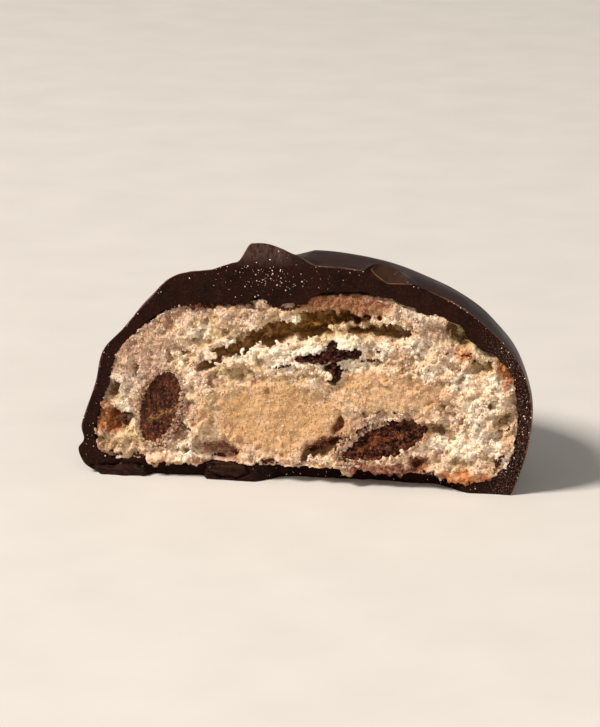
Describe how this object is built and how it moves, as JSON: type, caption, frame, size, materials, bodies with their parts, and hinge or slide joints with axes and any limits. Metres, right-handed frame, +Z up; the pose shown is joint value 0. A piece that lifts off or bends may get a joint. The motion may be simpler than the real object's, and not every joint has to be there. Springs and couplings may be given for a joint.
{
  "type": "chocolate-covered cookie half",
  "caption": "Domed crumbly cookie with chocolate chips, enrobed in dark chocolate and cut in half, showing the broken crumb inside.",
  "frame": {"origin": "middle of the half cookie's box, on the flat base that it stands on", "axes": "+X to the right along the cut, seen from the front; the cut face looks along -Y; +Z is up"},
  "size_m": [0.0516, 0.0267, 0.0275],
  "materials": {
    "dark_chocolate": "tempered dark chocolate, satin outside and matt where it is cut",
    "cookie_crumb": "dry broken crumb, pale with browned edges",
    "baked_chocolate": "chocolate baked in the dough, dull and dusty where it snapped"
  },
  "bodies": {
    "root": {"chocolate_coating": "dark_chocolate", "cookie": "cookie_crumb", "chocolate_chip_left": "baked_chocolate", "chocolate_chip_right": "baked_chocolate", "chocolate_shard_upper": "baked_chocolate", "chocolate_shard_lower": "baked_chocolate"}
  },
  "joints": []
}
